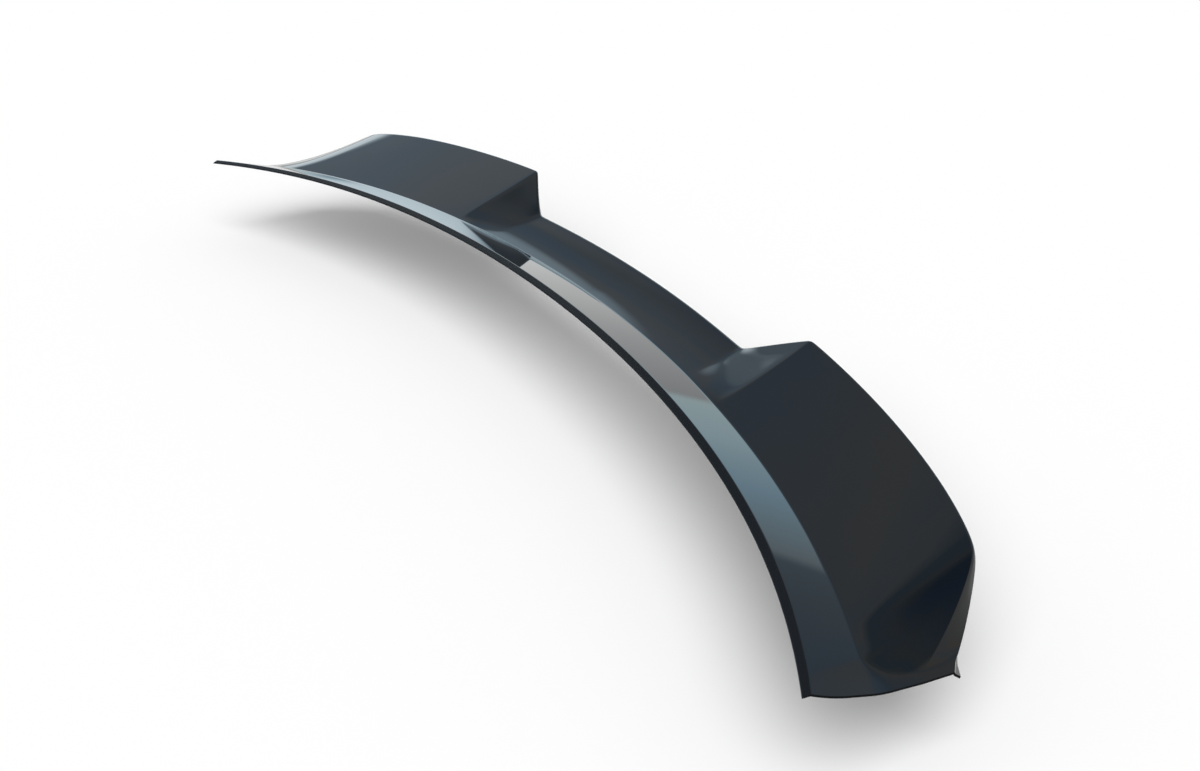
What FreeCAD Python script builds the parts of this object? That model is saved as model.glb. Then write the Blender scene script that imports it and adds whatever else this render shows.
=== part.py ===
import FreeCAD, Part
import math
import os

os.makedirs("parts", exist_ok=True)

# Spoiler cap: one moulded shell. X runs across the car, Y to the rear, Z up, all in mm.
# The origin is the middle of the front lip's lower edge, where the cap touches the panel under it.

# Overall
half_width = 620.0          # middle plane to the tip of the front lip
end_bulge = 5.5             # how far the end cut stands out beyond the lip's tip
end_corner_depth = 34.0     # the end cut's front corner is rounded over this depth
wall = 1.8                  # sheet thickness

# Front edge line in plan and in height: share of the half width, to the powers 2, 4 and 6
sweep_even = 110.0
sweep_late = 17.0
sweep_last = 12.0
droop_even = 18.8
droop_late = 6.8

# Front lip
lip_depth = 7.2
lip_height = 3.0
lip_blunt = 0.8             # upright edge at the very tip
lip_crown = 0.5             # how far the lip's face bows out

# Ledge, from the lip to the foot of the ramp, measured from the front edge line
ledge_depth = 48.5
ledge_drop = 9.0
ledge_waist = 2.8           # the ledge narrows by this much where the wings begin
ledge_waist_rise = 2.0      # and is this much shallower there
ledge_waist_at = 300.0
ledge_waist_reach = 212.0
ledge_spread = 5.5          # it widens by this much at the ends
crease_round = 1.2          # rounding of the crease at the ramp's foot

# Middle ramp and its crest
crest_depth = 107.5
crest_height = 3.2
ramp_hollow_at = 0.58       # where the middle ramp's curve is pulled, as a share of its depth
ramp_hollow_rise = 0.10     # and of its rise
crest_inner = 0.7           # rounding left over once the wall is taken off the crest's corner
crest_wall_share = 1.2      # what the wall takes off it, in wall thicknesses
crest_round = crest_inner + crest_wall_share * wall  # band along the crest, from the corner down either side
rear_corner_round = 0.2     # what is left of that band's rear half at the end flange

# Raised wings
flank_foot_x = 198.0
flank_top_x = 259.5
flank_foot_round = 4.0
flank_top_round = 3.0
wing_depth = 146.6
wing_height = 32.0
wing_depth_gain = 0.0635    # per mm outwards
wing_height_loss = 0.0285   # per mm outwards
wing_hollow_at = 0.50
wing_hollow_rise = 0.43
wing_roll_from = 440.0      # where the crest begins to fall towards the end
wing_roll = 4.3             # how far it has fallen where it turns

# Outer end of a wing: the rounded crest opens out into a side face
turn_inset = 59.4           # from the lip's tip in to where the crest turns down and forward
turn_round = 4.1
side_foot_inset = 2.7       # from the lip's tip in to where the side face meets the end flange
side_foot_round = 1.6
side_width = 24.6           # width of the side face at its foot
side_bow = 1.5              # how far it bows out
side_lift = 12.5            # how far its front crease stands above a straight fall
side_front_lift = 2.3       # how far it still stands above the rear corner at the foot
side_rear_inset = 1.0       # from the base line forward to the rear corner
side_rear_lift = 3.5        # height of the rear corner above the base line
end_hollow = 5.7            # how far the ramp sinks in where it bends down to the end
end_hollow_inset = 80.0     # from the lip's tip in to where this begins
end_hollow_width = 68.0

# End flange: the ledge runs round the ramp's outer corner into it
flange_fall = 0.18          # fall outwards, per mm
foot_swing = 13.0           # how far the ramp's foot is set back there
foot_swing_drop = 5.7       # and how far down
foot_swing_inset = 23.0     # from the lip's tip in to where the foot begins to swing back
foot_swing_width = 15.0
foot_swing_round = 5.0
flange_crease_round = 11.0  # rounding of the crease there

# Lower rear line of the back face, with the flared lip along it
base_depth = 109.0
base_sweep_even = 16.0
base_sweep_late = 42.0
base_sweep_last = 58.0
base_drop = 22.0
base_fall = 25.0
rear_lip_depth = 5.3
rear_lip_drop = 4.2
rear_lip_least = 0.25       # share of both along the back; the lip flares to its full size at the end cuts

turn_x = half_width - turn_inset
side_foot_x = half_width - side_foot_inset


def hinge(distance, softness):
    """Nothing before the hinge and the distance itself after it, with a soft bend between."""
    return 0.5 * (distance + math.hypot(distance, softness))


def eased(x, start, start_round, end, end_round):
    """0 before the start, 1 after the end, and a straight change between with soft bends at both."""
    return (hinge(x - start, start_round) - hinge(x - end, end_round)) / (end - start)


def raised(x):
    """0 on the middle ramp, 1 on a wing, a slope between."""
    return eased(x, flank_foot_x, flank_foot_round, flank_top_x, flank_top_round)


def turned(x):
    """0 along the wing, 1 where its outer side has come down to the end flange."""
    return eased(x, turn_x, turn_round, side_foot_x, side_foot_round)


def between(a, b, share):
    return (a[0] + (b[0] - a[0]) * share, a[1] + (b[1] - a[1]) * share)


def towards(a, b, length):
    return between(a, b, length / math.dist(a, b))


def front_edge(x):
    """Depth and height of the front lip's lower edge."""
    h = (x / half_width) ** 2
    return (-(sweep_even * h + sweep_late * h ** 2 + sweep_last * h ** 3), -(droop_even * h + droop_late * h ** 2))


def swung(x):
    """0 along the cap, 1 where the ramp's foot has swung back at the outer end."""
    start = half_width - foot_swing_inset
    return eased(x, start, foot_swing_round, start + foot_swing_width, foot_swing_round)


def ramp_foot(x):
    """The crease where the ledge ends and the ramp begins."""
    tip = front_edge(x)
    waist = math.exp(-((x - ledge_waist_at) / ledge_waist_reach) ** 2)
    spread_out = ledge_spread * (x / half_width) ** 6
    return (
        tip[0] + ledge_depth - ledge_waist * waist + spread_out + foot_swing * swung(x),
        tip[1] - ledge_drop + ledge_waist_rise * waist - foot_swing_drop * swung(x),
    )


def crest(x):
    """The sharp corner of ramp and back face before it is rounded: low in the middle, high on the wings."""
    tip = front_edge(x)
    middle = (tip[0] + crest_depth, tip[1] + crest_height)
    roll = wing_roll * (hinge(x - wing_roll_from, turn_round) / (turn_x - wing_roll_from)) ** 2
    outwards = x - flank_top_x
    wing_y = tip[0] + wing_depth + wing_depth_gain * outwards
    wing_z = tip[1] + wing_height - wing_height_loss * outwards - roll
    return between(middle, (wing_y, wing_z), raised(x))


def back_foot(x):
    """Lower edge of the back face, where the flared rear lip begins."""
    h = (x / half_width) ** 2
    back = base_sweep_even * h + base_sweep_late * h ** 2 + base_sweep_last * h ** 3
    return (base_depth - back, -(base_drop + base_fall * h))


def flared(x):
    """How far the rear lip stands out: a little along the back, fully at the end cut."""
    rise = hinge(x - side_foot_x, side_foot_round) / (half_width + end_bulge - side_foot_x)
    return rear_lip_least + (1 - rear_lip_least) * rise


def corners(x):
    """Corners of the outer outline in the plane of one x, in order from the lip to the rear lip's tip."""
    t = turned(x)
    open_share = t * t * (3 - 2 * t)
    tip = front_edge(x)
    foot = ramp_foot(x)
    base = back_foot(x)
    fall = flange_fall * hinge(x - side_foot_x, side_foot_round)
    rear_corner = (base[0] - side_rear_inset, base[1] + side_rear_lift - fall)
    top = between(crest(x), rear_corner, t)
    slope = (1 - t) ** 2 * (top[1] - foot[1]) / (top[0] - foot[0])
    width = crest_round + (side_width - crest_round) * open_share
    lift = side_lift * t * (1 - t) ** 2 + side_front_lift * t * t
    side_front = (top[0] - width, top[1] - slope * crest_round + lift)
    side_rear = towards(top, base, crest_round * (1 - open_share) + rear_corner_round)
    bowed = between(side_front, side_rear, 0.5)
    bow = 4 * side_bow * t * (1 - t)
    side_middle = between(top, (bowed[0], bowed[1] + 2 * bow), open_share)

    share_at = ramp_hollow_at + (wing_hollow_at - ramp_hollow_at) * raised(x)
    share_up = ramp_hollow_rise + (wing_hollow_rise - ramp_hollow_rise) * raised(x)
    start = half_width - end_hollow_inset
    sunk = eased(x, start, turn_round, start + end_hollow_width, turn_round) ** 2 * (1 - swung(x))
    hollow = (
        foot[0] + (side_front[0] - foot[0]) * share_at,
        foot[1] + (side_front[1] - foot[1]) * share_up - end_hollow * sunk,
    )
    lip = (tip[0] + lip_depth, tip[1] + lip_height)
    flare = flared(x)
    rear = (base[0] + rear_lip_depth * flare, base[1] - rear_lip_drop * flare)
    return [lip, foot, hollow, side_front, side_rear, base, rear], side_middle


def crease_size(x):
    """Rounding of the crease at the ramp's foot: small along the cap, wide on the end flange."""
    return crease_round + (flange_crease_round - crease_round) * swung(x) ** 2


def normal(a, b):
    length = math.dist(a, b)
    return ((a[1] - b[1]) / length, (b[0] - a[0]) / length)


def inside(points):
    """The same corners moved in by the wall, each to where its two moved lines meet."""
    normals = [normal(a, b) for a, b in zip(points, points[1:])]
    moved = []
    for p, n, m in zip(points, normals[:1] + normals, normals + normals[-1:]):
        step = wall / (1 + n[0] * m[0] + n[1] * m[1])
        moved.append((p[0] - (n[0] + m[0]) * step, p[1] - (n[1] + m[1]) * step))
    return moved


def moved_in(point, a, b):
    """A point of the line from a to b, moved in by the wall."""
    n = normal(a, b)
    return (point[0] - wall * n[0], point[1] - wall * n[1])


def section(x):
    """Strips of the closed wall section in the plane of one x. Two points are a line, three a curve."""
    outer, side_middle = corners(abs(x))
    lip, foot, hollow, side_front, side_rear, base, rear = outer
    tip = front_edge(abs(x))
    blunt = (tip[0], tip[1] + lip_blunt)
    lip_middle = between(blunt, lip, 0.5)
    rounding = crease_size(abs(x))
    foot_in = towards(foot, lip, rounding)
    foot_out = towards(foot, hollow, rounding)
    foot_in_inside = moved_in(foot_in, lip, foot)
    foot_out_inside = moved_in(foot_out, foot, hollow)
    strips = [
        [tip, blunt],
        [blunt, (lip_middle[0] - lip_crown, lip_middle[1] + lip_crown), lip],
        [lip, foot_in],
        [foot_in, foot, foot_out],
        [foot_out, hollow, side_front],
        [side_front, side_middle, side_rear],
        [side_rear, base],
        [base, rear],
    ]
    lip, foot, hollow, side_front, side_rear, base, rear_inside = inside(outer)
    strips += [
        [rear, rear_inside],
        [rear_inside, base],
        [base, side_rear],
        [side_rear, side_front],
        [side_front, hollow, foot_out_inside],
        [foot_out_inside, foot, foot_in_inside],
        [foot_in_inside, lip],
        [lip, tip],
    ]
    return [[FreeCAD.Vector(x, p[0], p[1]) for p in strip] for strip in strips]


def spread(low, high, count):
    return [low + (high - low) * i / count for i in range(count)]


def stations():
    """Places across one half where the outline is drawn, closer together at the bends."""
    half = spread(0, flank_foot_x - 2 * flank_foot_round, 4)
    half += spread(flank_foot_x - 2 * flank_foot_round, flank_foot_x + 2 * flank_foot_round, 6)
    half += spread(flank_foot_x + 2 * flank_foot_round, flank_top_x - 2 * flank_top_round, 2)
    half += spread(flank_top_x - 2 * flank_top_round, flank_top_x + 2 * flank_top_round, 5)
    half += spread(flank_top_x + 2 * flank_top_round, turn_x - 3 * turn_round, 6)
    half += spread(turn_x - 3 * turn_round, turn_x + 3 * turn_round, 6)
    half += spread(turn_x + 3 * turn_round, side_foot_x - 3 * side_foot_round, 7)
    half += spread(side_foot_x - 3 * side_foot_round, side_foot_x + 3 * side_foot_round, 4)
    half += [side_foot_x + 3 * side_foot_round, half_width + end_bulge + 2 * wall]
    return [-x for x in reversed(half[1:])] + half


def skin(xs):
    """Smooth faces along the cap, one for each strip of the outline, and the two flat ends."""
    sections = [section(x) for x in xs]
    faces = []
    for strips in zip(*sections):
        rows = []
        for points in zip(*strips):
            row = Part.BSplineCurve()
            row.interpolate(Points=points, Parameters=xs)
            rows.append(row)
        degree = len(rows) - 1
        surface = Part.BSplineSurface()
        surface.buildFromPolesMultsKnots(
            [list(column) for column in zip(*[row.getPoles() for row in rows])],
            rows[0].getMultiplicities(),
            [degree + 1, degree + 1],
            rows[0].getKnots(),
            [0.0, 1.0],
            False,
            False,
            rows[0].Degree,
            degree,
        )
        faces.append(surface.toShape())
    for ends in (sections[0], sections[-1]):
        edges = []
        for strip in ends:
            curve = Part.BezierCurve()
            curve.setPoles(strip)
            edges.append(curve.toShape())
        faces.append(Part.Face(Part.Wire(edges)))
    return faces


def end_trim():
    """A tall block whose ends are the cap's end cuts: straight along the car, with a rounded front corner."""
    tip = front_edge(half_width)[0]
    front = tip - 2 * end_corner_depth
    rear = base_depth + end_corner_depth
    low = -3 * (base_drop + base_fall)
    high = 3 * wing_height
    radius = (end_corner_depth ** 2 + end_bulge ** 2) / (2 * end_bulge)
    half_angle = 0.5 * math.asin(end_corner_depth / radius)
    outer = half_width + end_bulge
    straight = tip + end_corner_depth
    edges = []
    for side in (1, -1):
        nose = FreeCAD.Vector(side * half_width, tip, low)
        bow = radius * (1 - math.cos(half_angle))
        middle = FreeCAD.Vector(side * (outer - bow), straight - radius * math.sin(half_angle), low)
        start = FreeCAD.Vector(side * outer, straight, low)
        front_corner = FreeCAD.Vector(side * half_width, front, low)
        rear_corner = FreeCAD.Vector(side * outer, rear, low)
        edges.append(Part.makeLine(FreeCAD.Vector(0, front, low), front_corner))
        edges.append(Part.makeLine(front_corner, nose))
        edges.append(Part.Arc(nose, middle, start).toShape())
        edges.append(Part.makeLine(start, rear_corner))
        edges.append(Part.makeLine(rear_corner, FreeCAD.Vector(0, rear, low)))
    wire = Part.Wire(Part.__sortEdges__(edges))
    return Part.Face(wire).extrude(FreeCAD.Vector(0, 0, high - low))


shell = Part.makeShell(skin(stations()))
shell.sewShape()
body = Part.Solid(shell)
far_above = FreeCAD.Vector(0, 0, 3 * half_width)
if body.isInside(far_above, wall, False):
    body.reverse()
spoiler_cap = body.common(end_trim()).Solids[0]
spoiler_cap.exportStep("parts/spoiler_cap.step")
box = spoiler_cap.BoundBox
print("valid", spoiler_cap.isValid(), "faces", len(spoiler_cap.Faces))
print("x", box.XMin, box.XMax, "y", box.YMin, box.YMax, "z", box.ZMin, box.ZMax)
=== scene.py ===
import bmesh
import bpy
import math
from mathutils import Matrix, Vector


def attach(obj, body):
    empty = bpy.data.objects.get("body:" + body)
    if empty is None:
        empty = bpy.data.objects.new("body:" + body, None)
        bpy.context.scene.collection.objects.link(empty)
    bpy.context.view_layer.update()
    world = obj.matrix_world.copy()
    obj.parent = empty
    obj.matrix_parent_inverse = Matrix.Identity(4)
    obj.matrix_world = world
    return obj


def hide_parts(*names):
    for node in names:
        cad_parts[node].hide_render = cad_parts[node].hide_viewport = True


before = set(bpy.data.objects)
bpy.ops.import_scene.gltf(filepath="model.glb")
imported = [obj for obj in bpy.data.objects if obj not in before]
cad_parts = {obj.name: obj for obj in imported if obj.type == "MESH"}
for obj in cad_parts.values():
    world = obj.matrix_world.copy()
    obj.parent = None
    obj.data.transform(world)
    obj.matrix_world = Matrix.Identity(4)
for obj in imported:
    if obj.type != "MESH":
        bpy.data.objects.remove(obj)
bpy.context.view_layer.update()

MM = 0.001
NODE = "spoiler_cap"

# Camera, in metres in the part's frame
CAMERA_AT = Vector((1.32573, -0.68704, 0.63814))
CAMERA_LOOKS = Vector((-0.78152, 0.43995, -0.44236))
LENS_MM = 50.01
SENSOR_MM = 36.0

# Studio, in metres
FLOOR_Z = -0.120
FLOOR_SIDE = 16.0
FLOOR_COLOUR = (0.92, 0.92, 0.92, 1)
WHITE = (1, 1, 1, 1)
KEY_FROM = Vector((0.77, -0.517, 1.0))
KEY_SPREAD = 1.0
KEY_STRENGTH = 2.97
AMBIENT = 0.394

# What the gloss mirrors: elevation in degrees, colour. One set lies behind, the other beside
BEHIND = (
    (3.0, (1.80, 1.85, 1.85)),
    (5.5, (1.55, 1.58, 1.58)),
    (9.0, (1.32, 1.34, 1.35)),
    (13.8, (1.13, 1.17, 1.20)),
    (14.2, (1.45, 1.87, 1.95)),
    (16.5, (1.39, 1.88, 2.08)),
    (19.5, (0.98, 1.52, 1.88)),
    (22.8, (0.80, 1.02, 1.15)),
    (23.3, (0.36, 0.50, 0.60)),
    (27.0, (0.35, 0.44, 0.53)),
    (33.0, (0.33, 0.44, 0.54)),
    (39.0, (0.25, 0.36, 0.48)),
    (43.0, (0.30, 0.39, 0.49)),
    (47.0, (0.37, 0.44, 0.49)),
    (51.5, (0.38, 0.44, 0.49)),
    (55.0, (0.17, 0.27, 0.34)),
    (65.0, (0.19, 0.26, 0.33)),
    (76.0, (0.03, 0.11, 0.22)),
)
BESIDE = (
    (0.0, (1.15, 1.17, 1.17)),
    (7.0, (0.76, 0.77, 0.77)),
    (18.0, (0.64, 0.65, 0.64)),
    (30.0, (0.55, 0.56, 0.55)),
    (50.0, (0.50, 0.53, 0.53)),
    (60.0, (0.21, 0.24, 0.24)),
    (70.0, (0.16, 0.21, 0.26)),
    (76.0, (0.03, 0.11, 0.22)),
)
# The direction's X at which the first set gives way to the second
BESIDE_FROM = 0.05
BESIDE_TO = 0.28
# Round soft cards: angle round from X, elevation, inner and outer radius in degrees, colour
CARDS = (
    (165.0, 23.0, 2.0, 4.5, (0.48, 0.63, 0.74)),
    (154.0, 23.0, 2.0, 5.5, (0.85, 1.12, 1.33)),
    (170.5, 17.0, 3.0, 6.0, (2.50, 2.85, 3.05)),
    (159.5, 16.0, 3.5, 6.0, (2.70, 3.20, 3.50)),
    (176.0, 29.0, 5.0, 10.0, (0.50, 0.64, 0.77)),
)
# Faint clouds above this elevation in degrees, which come in over the next few
CLOUDS_ABOVE = 24.0
CLOUDS_FADE = 4.0
CLOUDS_SCALE = 6.0
CLOUDS_LOW = 0.38           # the noise at which they are cool, and warm
CLOUDS_HIGH = 0.62
COOL = (0.88, 0.98, 1.08)
WARM = (1.14, 1.03, 0.94)

# Finish
PLASTIC = (0.0040, 0.0042, 0.0048, 1)
POLISHED_ROUGHNESS = 0.03
DULL_ROUGHNESS = 0.6
DULL_SPECULAR = 0.03
DULL = "dull_share"
LIP_DULL = 0.58             # the front lip's face; the sawn end is fully dull

# Sizes in mm, as in the part's source, but for the turn at a wing's outer end, which is drawn finer here
half_width = 620.0          # middle plane to the tip of the front lip
end_bulge = 5.5             # how far the end cut stands out beyond the lip's tip
end_corner_depth = 34.0     # the end cut's front corner is rounded over this depth
wall = 1.8                  # sheet thickness

# Front edge line in plan and in height: share of the half width, to the powers 2, 4 and 6
sweep_even = 110.0
sweep_late = 17.0
sweep_last = 12.0
droop_even = 18.8
droop_late = 6.8

# Front lip
lip_depth = 7.2
lip_height = 3.0
lip_blunt = 0.8             # upright edge at the very tip

# Ledge, from the lip to the foot of the ramp, measured from the front edge line
ledge_depth = 48.5
ledge_drop = 9.0
ledge_waist = 2.8           # the ledge narrows by this much where the wings begin
ledge_waist_rise = 2.0      # and is this much shallower there
ledge_waist_at = 300.0
ledge_waist_reach = 212.0
ledge_spread = 5.5          # it widens by this much at the ends
crease_round = 1.2          # rounding of the crease at the ramp's foot

# Middle ramp and its crest
crest_depth = 107.5
crest_height = 3.2
ramp_hollow_at = 0.58       # where the middle ramp's curve is pulled, as a share of its depth
ramp_hollow_rise = 0.10     # and of its rise
crest_inner = 0.7           # rounding left over once the wall is taken off the crest's corner
crest_wall_share = 1.2      # what the wall takes off it, in wall thicknesses
crest_round = crest_inner + crest_wall_share * wall  # band along the crest, from the corner down either side
rear_corner_round = 0.2     # what is left of that band's rear half at the end flange

# Raised wings
flank_foot_x = 198.0
flank_top_x = 259.5
flank_foot_round = 4.0
flank_top_round = 3.0
wing_depth = 146.6
wing_height = 32.0
wing_depth_gain = 0.0635    # per mm outwards
wing_height_loss = 0.0285   # per mm outwards
wing_hollow_at = 0.50
wing_hollow_rise = 0.43
wing_roll_from = 440.0      # where the crest begins to fall towards the end
wing_roll = 3.3             # how far it has fallen where it turns
wing_roll_power = 2.8

# Outer end of a wing: the rounded crest opens out into a side face
turn_inset = 54.3           # from the lip's tip in to where the crest turns down and forward
turn_round = 6.5
side_foot_inset = 2.7       # from the lip's tip in to where the side face meets the end flange
side_foot_round = 1.6
side_width = 27.6           # width of the side face at its foot
side_opening = 12.3         # softness with which the crest opens out into it
side_slide = 15.4           # how far its rear corner slips down the back face on the way
side_bow = 0.4              # how far it bows out
side_lift = 2.4             # how far its front crease stands above a straight fall
side_front_lift = 1.4       # how far it still stands above the rear corner at the foot
side_rear_inset = 1.0       # from the base line forward to the rear corner
side_rear_lift = 3.5        # height of the rear corner above the base line
end_hollow = 5.7            # how far the ramp sinks in where it bends down to the end
end_hollow_inset = 80.0     # from the lip's tip in to where this begins
end_hollow_width = 68.0

# End flange: the ledge runs round the ramp's outer corner into it
flange_fall = 0.18          # fall outwards, per mm
foot_swing = 13.0           # how far the ramp's foot is set back there
foot_swing_drop = 5.7       # and how far down
foot_swing_inset = 23.0     # from the lip's tip in to where the foot begins to swing back
foot_swing_width = 15.0
foot_swing_round = 5.0
flange_crease_round = 11.0  # rounding of the crease there

# Lower rear line of the back face, with the flared lip along it
base_depth = 109.0
base_sweep_even = 16.0
base_sweep_late = 42.0
base_sweep_last = 58.0
base_drop = 22.0
base_fall = 25.0
rear_lip_depth = 5.3
rear_lip_drop = 4.2
rear_lip_least = 0.25       # share of both along the back; the lip flares to its full size at the end cuts

turn_x = half_width - turn_inset
side_foot_x = half_width - side_foot_inset


def hinge(distance, softness):
    """Nothing before the hinge and the distance itself after it, with a soft bend between."""
    return 0.5 * (distance + math.hypot(distance, softness))


def eased(x, start, start_round, end, end_round):
    """0 before the start, 1 after the end, and a straight change between with soft bends at both."""
    return (hinge(x - start, start_round) - hinge(x - end, end_round)) / (end - start)


def raised(x):
    """0 on the middle ramp, 1 on a wing, a slope between."""
    return eased(x, flank_foot_x, flank_foot_round, flank_top_x, flank_top_round)


def turned(x):
    """0 along the wing, 1 where its outer side has come down to the end flange."""
    return eased(x, turn_x, turn_round, side_foot_x, side_foot_round)


def between(a, b, share):
    return (a[0] + (b[0] - a[0]) * share, a[1] + (b[1] - a[1]) * share)


def towards(a, b, length):
    return between(a, b, length / math.dist(a, b))


def front_edge(x):
    """Depth and height of the front lip's lower edge."""
    h = (x / half_width) ** 2
    return (-(sweep_even * h + sweep_late * h ** 2 + sweep_last * h ** 3), -(droop_even * h + droop_late * h ** 2))


def swung(x):
    """0 along the cap, 1 where the ramp's foot has swung back at the outer end."""
    start = half_width - foot_swing_inset
    return eased(x, start, foot_swing_round, start + foot_swing_width, foot_swing_round)


def ramp_foot(x):
    """The crease where the ledge ends and the ramp begins."""
    tip = front_edge(x)
    waist = math.exp(-((x - ledge_waist_at) / ledge_waist_reach) ** 2)
    spread_out = ledge_spread * (x / half_width) ** 6
    return (
        tip[0] + ledge_depth - ledge_waist * waist + spread_out + foot_swing * swung(x),
        tip[1] - ledge_drop + ledge_waist_rise * waist - foot_swing_drop * swung(x),
    )


def crest(x):
    """The sharp corner of ramp and back face before it is rounded: low in the middle, high on the wings."""
    tip = front_edge(x)
    middle = (tip[0] + crest_depth, tip[1] + crest_height)
    roll = wing_roll * (hinge(x - wing_roll_from, turn_round) / (turn_x - wing_roll_from)) ** wing_roll_power
    outwards = x - flank_top_x
    wing_y = tip[0] + wing_depth + wing_depth_gain * outwards
    wing_z = tip[1] + wing_height - wing_height_loss * outwards - roll
    return between(middle, (wing_y, wing_z), raised(x))


def back_foot(x):
    """Lower edge of the back face, where the flared rear lip begins."""
    h = (x / half_width) ** 2
    back = base_sweep_even * h + base_sweep_late * h ** 2 + base_sweep_last * h ** 3
    return (base_depth - back, -(base_drop + base_fall * h))


def flared(x):
    """How far the rear lip stands out: a little along the back, fully at the end cut."""
    rise = hinge(x - side_foot_x, side_foot_round) / (half_width + end_bulge - side_foot_x)
    return rear_lip_least + (1 - rear_lip_least) * rise


def corners(x):
    """Corners of the outer outline in the plane of one x, in order from the lip to the rear lip's tip."""
    t = turned(x)
    open_share = eased(x, turn_x, side_opening, side_foot_x, side_foot_round)
    tip = front_edge(x)
    foot = ramp_foot(x)
    base = back_foot(x)
    fall = flange_fall * hinge(x - side_foot_x, side_foot_round)
    rear_corner = (base[0] - side_rear_inset, base[1] + side_rear_lift - fall)
    top = between(crest(x), rear_corner, t)
    slope = (1 - t) ** 2 * (top[1] - foot[1]) / (top[0] - foot[0])
    width = crest_round + (side_width - crest_round) * open_share
    lift = side_lift * t * (1 - t) ** 2 + side_front_lift * t * t
    side_front = (top[0] - width, top[1] - slope * width + lift)
    slip = side_slide * open_share * (1 - t)
    side_rear = towards(top, base, crest_round * (1 - open_share) + rear_corner_round + slip)
    bowed = between(side_front, side_rear, 0.5)
    bow = 4 * side_bow * t * (1 - t)
    side_middle = between(top, (bowed[0], bowed[1] + 2 * bow), 1 - (1 - open_share) ** 8)

    share_at = ramp_hollow_at + (wing_hollow_at - ramp_hollow_at) * raised(x)
    share_up = ramp_hollow_rise + (wing_hollow_rise - ramp_hollow_rise) * raised(x)
    start = half_width - end_hollow_inset
    sunk = eased(x, start, turn_round, start + end_hollow_width, turn_round) ** 2 * (1 - swung(x))
    hollow = (
        foot[0] + (side_front[0] - foot[0]) * share_at,
        foot[1] + (side_front[1] - foot[1]) * share_up - end_hollow * sunk,
    )
    lip = (tip[0] + lip_depth, tip[1] + lip_height)
    flare = flared(x)
    rear = (base[0] + rear_lip_depth * flare, base[1] - rear_lip_drop * flare)
    return [lip, foot, hollow, side_front, side_rear, base, rear], side_middle


def crease_size(x):
    """Rounding of the crease at the ramp's foot: small along the cap, wide on the end flange."""
    return crease_round + (flange_crease_round - crease_round) * swung(x) ** 2


def normal(a, b):
    length = math.dist(a, b)
    return ((a[1] - b[1]) / length, (b[0] - a[0]) / length)


def inside(points):
    """The same corners moved in by the wall, each to where its two moved lines meet."""
    normals = [normal(a, b) for a, b in zip(points, points[1:])]
    moved = []
    for p, n, m in zip(points, normals[:1] + normals, normals + normals[-1:]):
        step = wall / (1 + n[0] * m[0] + n[1] * m[1])
        moved.append((p[0] - (n[0] + m[0]) * step, p[1] - (n[1] + m[1]) * step))
    return moved


def moved_in(point, a, b):
    """A point of the line from a to b, moved in by the wall."""
    n = normal(a, b)
    return (point[0] - wall * n[0], point[1] - wall * n[1])


# Fineness of the outline's rounded parts, and sizes of its small roundings in mm
CORNER_STEPS = 3
FOOT_STEPS = 5
RAMP_STEPS = 40
CREST_STEPS = 10
LIP_STEPS = 6
CORNER_SIZE = 0.5
TIP_SIZE = 0.25
LIP_ROLL = 2.2
BESIDE_CORNER = 0.8         # how far from a corner the flat beside it is held flat
END_FLATS = 6               # short flats that make the end cut's rounded corner
PAST_END = 2.0              # the shell is drawn out this far past the end cut
SHARP = math.radians(38)    # edges that bend more than this are drawn crisp
MERGE = 1e-6


def curve(a, pull, b, steps):
    """Points of a curve from a to b pulled to the middle one, without its last point."""
    points = []
    for i in range(steps):
        share = i / steps
        points.append(between(between(a, pull, share), between(pull, b, share), share))
    return points


def corner(before, at, after, size=CORNER_SIZE, steps=CORNER_STEPS):
    """A small rounding at a corner, with both of its ends."""
    a = towards(at, before, size)
    b = towards(at, after, size)
    return curve(a, at, b, steps) + [b]


def ring(x):
    """The closed outline of the wall in the plane of one x, all points in order."""
    outer, side_middle = corners(x)
    lip, foot, hollow, side_front, side_rear, base, rear = outer
    inner_lip, inner_foot, inner_hollow, inner_front, inner_rear, inner_base, inner_tip = inside(outer)
    tip = front_edge(x)
    blunt = (tip[0], tip[1] + lip_blunt)
    rolled = towards(blunt, lip, LIP_ROLL)
    points = corner(inner_lip, tip, blunt, TIP_SIZE)
    points += curve(points[-1], blunt, rolled, LIP_STEPS)[1:]
    points += [rolled, towards(rolled, lip, BESIDE_CORNER), towards(lip, rolled, CORNER_SIZE + BESIDE_CORNER)]
    points += corner(rolled, lip, foot)
    rounding = crease_size(x)
    foot_in = towards(foot, lip, rounding)
    foot_out = towards(foot, hollow, rounding)
    points += [towards(lip, foot, CORNER_SIZE + BESIDE_CORNER), towards(foot, lip, rounding + BESIDE_CORNER)]
    points += curve(foot_in, foot, foot_out, FOOT_STEPS)
    ramp = curve(foot_out, hollow, side_front, RAMP_STEPS)
    side = curve(side_front, side_middle, side_rear, CREST_STEPS)
    points += [foot_out, between(foot_out, ramp[1], 0.5)] + ramp[1:]
    points += [between(side_front, ramp[-1], 0.25), side_front, between(side_front, side[1], 0.2)] + side[1:]
    points += [side_rear, between(side_rear, base, 0.33), between(side_rear, base, 0.67)]
    points += corner(side_rear, base, rear)
    points += corner(base, rear, inner_tip)
    points += corner(rear, inner_tip, inner_base)
    points += [inner_base, inner_rear, inner_front]
    foot_in_inside = moved_in(foot_in, lip, foot)
    foot_out_inside = moved_in(foot_out, foot, hollow)
    points += curve(inner_front, inner_hollow, foot_out_inside, RAMP_STEPS // 2)[1:]
    points += curve(foot_out_inside, inner_foot, foot_in_inside, FOOT_STEPS)
    points += [foot_in_inside, inner_lip]
    return [Vector((x * MM, y * MM, z * MM)) for y, z in points]


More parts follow.
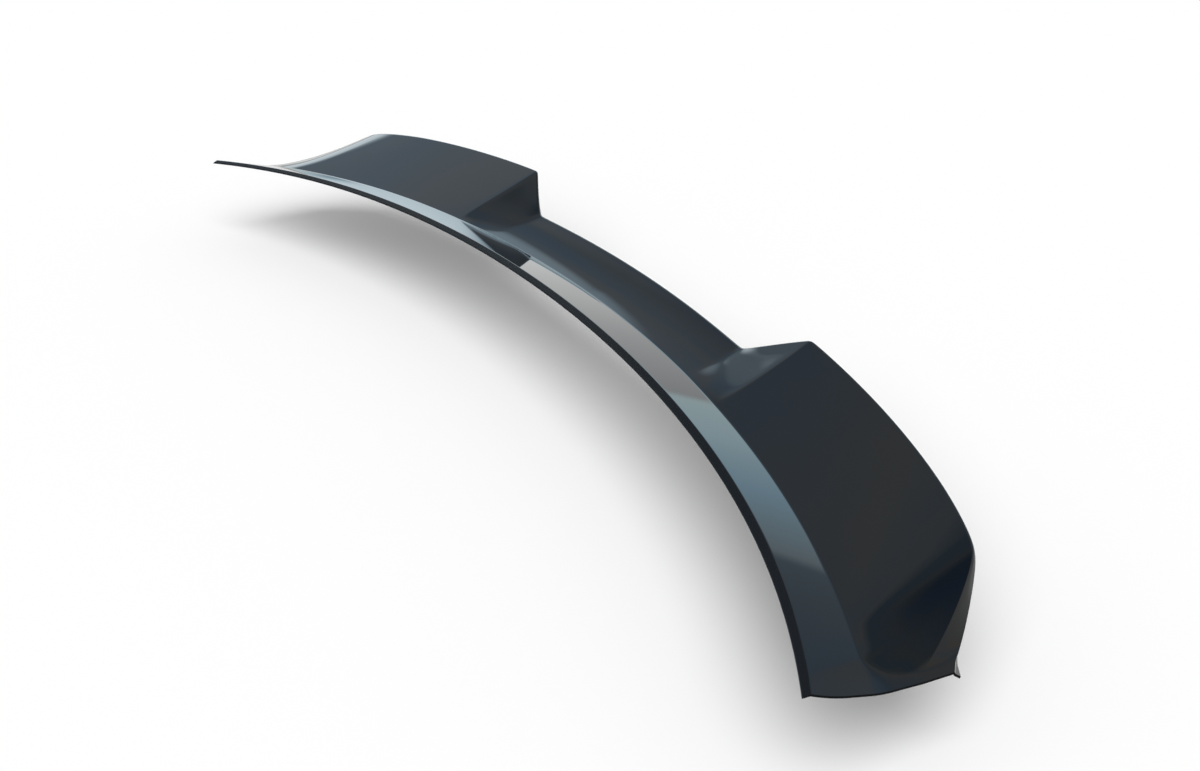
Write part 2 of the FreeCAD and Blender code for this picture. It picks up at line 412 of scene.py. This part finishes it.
def ring_places():
    """Places across one half, close together at the bends."""
    places = []
    steps = (
        (0, flank_foot_x - 12, 8.0),
        (flank_foot_x - 12, flank_foot_x + 12, 1.5),
        (flank_foot_x + 12, flank_top_x - 10, 4.0),
        (flank_top_x - 10, flank_top_x + 10, 1.25),
        (flank_top_x + 10, turn_x - 20, 8.0),
        (turn_x - 20, turn_x + 20, 1.5),
        (turn_x + 20, side_foot_x - 6, 2.5),
        (side_foot_x - 6, half_width + end_bulge + PAST_END, 0.75),
    )
    for low, high, step in steps:
        count = round((high - low) / step)
        places += [low + (high - low) * i / count for i in range(count)]
    places.append(half_width + end_bulge + PAST_END)
    return places


def end_cut(shape, dull):
    """Trims the outer end: straight along the car, with a rounded front corner. The cut faces are dull."""
    radius = (end_corner_depth ** 2 + end_bulge ** 2) / (2 * end_bulge)
    full = math.asin(end_corner_depth / radius)
    start_y = front_edge(half_width)[0] + end_corner_depth
    for i in range(END_FLATS + 1):
        angle = full * i / END_FLATS
        at = Vector((half_width + end_bulge - radius * (1 - math.cos(angle)), start_y - radius * math.sin(angle), 0))
        normal_out = Vector((math.cos(angle), -math.sin(angle), 0))
        everything = shape.verts[:] + shape.edges[:] + shape.faces[:]
        cut = bmesh.ops.bisect_plane(
            shape, geom=everything, plane_co=at * MM, plane_no=normal_out, clear_outer=True, dist=1e-7
        )
        edges = [e for e in cut["geom_cut"] if isinstance(e, bmesh.types.BMEdge) and e.is_boundary]
        for face in bmesh.ops.holes_fill(shape, edges=edges, sides=0)["faces"]:
            face[dull] = 1.0


def shell_mesh(name):
    """The whole shell: one outline drawn out from the middle to the end, cut, and mirrored."""
    shape = bmesh.new()
    dull = shape.faces.layers.float.new(DULL)
    places = ring_places()
    loop = [shape.verts.new(p) for p in ring(places[0])]
    edges = [shape.edges.new(pair) for pair in zip(loop, loop[1:] + loop[:1])]
    for x in places[1:]:
        drawn = bmesh.ops.extrude_edge_only(shape, edges=edges)["geom"]
        fresh = {v for v in drawn if isinstance(v, bmesh.types.BMVert)}
        loop = [next(e.other_vert(v) for e in v.link_edges if e.other_vert(v) in fresh) for v in loop]
        edges = [e for e in drawn if isinstance(e, bmesh.types.BMEdge) and e.verts[0] in fresh and e.verts[1] in fresh]
        for v, p in zip(loop, ring(x)):
            v.co = p
    for face in shape.faces:
        middle = face.calc_center_median() / MM
        lip = corners(middle.x)[0][0]
        if middle.y < lip[0]:
            face[dull] = LIP_DULL
    end_cut(shape, dull)
    everything = shape.verts[:] + shape.edges[:] + shape.faces[:]
    bmesh.ops.mirror(shape, geom=everything, axis="X", merge_dist=MERGE)
    bmesh.ops.remove_doubles(shape, verts=shape.verts[:], dist=MERGE)
    bmesh.ops.recalc_face_normals(shape, faces=shape.faces[:])
    for face in shape.faces:
        face.smooth = True
    for edge in shape.edges:
        if len(edge.link_faces) == 2 and edge.calc_face_angle() > SHARP:
            edge.smooth = False
    mesh = bpy.data.meshes.new(name)
    shape.to_mesh(mesh)
    shape.free()
    piece = bpy.data.objects.new(name, mesh)
    bpy.context.scene.collection.objects.link(piece)
    return piece


class Value:
    """A socket of a shader's node tree that takes part in sums."""

    def __init__(self, tree, socket):
        self.tree = tree
        self.socket = socket

    def join(self, kind, other, swap=False, held=False):
        """A Math node on this value and another. Held keeps the result from 0 to 1."""
        node = self.tree.nodes.new("ShaderNodeMath")
        node.operation = kind
        node.use_clamp = held
        pair = (other, self) if swap else (self, other)
        for place, value in zip(node.inputs, pair):
            if isinstance(value, Value):
                self.tree.links.new(value.socket, place)
            else:
                place.default_value = value
        return Value(self.tree, node.outputs[0])

    def __sub__(self, other):
        return self.join("SUBTRACT", other)

    def __rsub__(self, other):
        return self.join("SUBTRACT", other, swap=True)

    def __mul__(self, other):
        return self.join("MULTIPLY", other)

    __rmul__ = __mul__


class Shader:
    """A node tree under construction."""

    def __init__(self, holder):
        holder.use_nodes = True
        self.tree = holder.node_tree
        self.tree.nodes.clear()

    def node(self, kind, settings=None, inputs=None, out=0):
        made = self.tree.nodes.new(kind)
        for key, value in (settings or {}).items():
            setattr(made, key, value)
        for key, value in (inputs or {}).items():
            if isinstance(value, Value):
                self.tree.links.new(value.socket, made.inputs[key])
            else:
                made.inputs[key].default_value = value
        return Value(self.tree, made.outputs[out]) if len(made.outputs) else made


def gloss_black():
    """Very dark moulded plastic with a polished face, duller along the rubbed front lip and where it is sawn off."""
    material = bpy.data.materials.new("gloss_black_plastic")
    shader = Shader(material)
    polished = shader.node(
        "ShaderNodeBsdfPrincipled", inputs={"Base Color": PLASTIC, "Roughness": POLISHED_ROUGHNESS, "IOR": 1.5}
    )
    dull = shader.node(
        "ShaderNodeBsdfPrincipled",
        inputs={"Base Color": PLASTIC, "Roughness": DULL_ROUGHNESS, "Specular IOR Level": DULL_SPECULAR},
    )
    share_dull = shader.node("ShaderNodeAttribute", {"attribute_name": DULL}, out=2)
    surface = shader.node("ShaderNodeMixShader", inputs={0: share_dull, 1: polished, 2: dull})
    shader.node("ShaderNodeOutputMaterial", inputs={"Surface": surface})
    return material


def ramped(value, low, high):
    """0 at the low value and below, 1 at the high one and above, straight between."""
    return (value - low).join("MULTIPLY", 1 / (high - low), held=True)


def softened(amount):
    """The same change from 0 to 1 with a soft start and end."""
    return amount * amount * (3 - 2 * amount)


def height_of(degrees):
    """Height of a direction at this elevation."""
    return math.sin(math.radians(degrees))


def blend(shader, factor, a, b):
    """The second colour over the first."""
    colours = {k: v if isinstance(v, Value) else (*v, 1) for k, v in ((6, a), (7, b))}
    return shader.node("ShaderNodeMix", {"data_type": "RGBA"}, {0: factor, **colours}, out=2)


def layers(shader, up, stops):
    """Colours one above another, each given with its elevation in degrees."""
    (below, colour), rest = stops[0], stops[1:]
    for above, next_colour in rest:
        colour = blend(shader, ramped(up, height_of(below), height_of(above)), colour, next_colour)
        below = above
    return colour


def heading(around, above):
    """The direction at an angle round from the X axis and an elevation, both in degrees."""
    around, above = math.radians(around), math.radians(above)
    return (math.cos(above) * math.cos(around), math.cos(above) * math.sin(around), math.sin(above))


def card(shader, direction, under, around, above, inner, outer, colour):
    """A round soft card over the colours under it: whole inside one angle, gone outside the other."""
    near = shader.node(
        "ShaderNodeVectorMath", {"operation": "DOT_PRODUCT"}, {0: direction, 1: heading(around, above)}, out=1
    )
    limits = [math.cos(math.radians(angle)) for angle in (outer, inner)]
    return blend(shader, softened(ramped(near, *limits)), under, colour)


def studio():
    """Surroundings: layers and cards to the gloss, an even pale light to the rest, white to the camera."""
    world = bpy.data.worlds.new("studio")
    bpy.context.scene.world = world
    shader = Shader(world)
    direction = shader.node("ShaderNodeTexCoord", out=0)
    across, up = (shader.node("ShaderNodeSeparateXYZ", inputs={0: direction}, out=i) for i in (0, 2))
    behind = layers(shader, up, BEHIND)
    beside = layers(shader, up, BESIDE)
    seen = blend(shader, ramped(across, BESIDE_FROM, BESIDE_TO), behind, beside)
    for placed in CARDS:
        seen = card(shader, direction, seen, *placed)
    noise = {"Vector": direction, "Scale": CLOUDS_SCALE, "Detail": 2.0}
    clouds = shader.node("ShaderNodeTexNoise", inputs=noise)
    tint = blend(shader, ramped(clouds, CLOUDS_LOW, CLOUDS_HIGH), COOL, WARM)
    above = ramped(up, height_of(CLOUDS_ABOVE), height_of(CLOUDS_ABOVE + CLOUDS_FADE))
    tinted = {"data_type": "RGBA", "blend_type": "MULTIPLY"}
    seen = shader.node("ShaderNodeMix", tinted, {0: above, 6: seen, 7: tint}, out=2)
    mirrored = shader.node("ShaderNodeBackground", inputs={"Color": seen, "Strength": 1.0})
    soft = shader.node("ShaderNodeBackground", inputs={"Color": WHITE, "Strength": AMBIENT})
    white = shader.node("ShaderNodeBackground", inputs={"Color": WHITE, "Strength": 1.0})
    glossy = shader.node("ShaderNodeLightPath", out=3)
    camera = shader.node("ShaderNodeLightPath", out=0)
    first = shader.node("ShaderNodeMixShader", inputs={0: glossy, 1: soft, 2: mirrored})
    last = shader.node("ShaderNodeMixShader", inputs={0: camera, 1: first, 2: white})
    shader.node("ShaderNodeOutputWorld", inputs={"Surface": last})


def floor():
    bpy.ops.mesh.primitive_plane_add(size=FLOOR_SIDE, location=(0, 0, FLOOR_Z))
    plane = bpy.context.object
    plane.name = "studio_floor"
    material = bpy.data.materials.new("pale_floor")
    shader = Shader(material)
    surface = shader.node("ShaderNodeBsdfDiffuse", inputs={"Color": FLOOR_COLOUR})
    shader.node("ShaderNodeOutputMaterial", inputs={"Surface": surface})
    plane.data.materials.append(material)


def key_light():
    lamp = bpy.data.lights.new("key", "SUN")
    lamp.energy = KEY_STRENGTH
    lamp.angle = KEY_SPREAD
    holder = bpy.data.objects.new("key", lamp)
    holder.rotation_euler = KEY_FROM.to_track_quat("Z", "Y").to_euler()
    bpy.context.scene.collection.objects.link(holder)


def camera():
    lens = bpy.data.cameras.new("camera")
    lens.lens = LENS_MM
    lens.sensor_width = SENSOR_MM
    lens.sensor_fit = "HORIZONTAL"
    lens.clip_start = 0.05
    holder = bpy.data.objects.new("camera", lens)
    holder.location = CAMERA_AT
    holder.rotation_euler = (-CAMERA_LOOKS).to_track_quat("Z", "Y").to_euler()
    bpy.context.scene.collection.objects.link(holder)
    bpy.context.scene.camera = holder


shell = shell_mesh("spoiler_cap_shell")
shell.data.materials.append(gloss_black())
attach(shell, "root")
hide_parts(NODE)

studio()
floor()
key_light()
camera()
bpy.context.scene.view_settings.view_transform = "Standard"
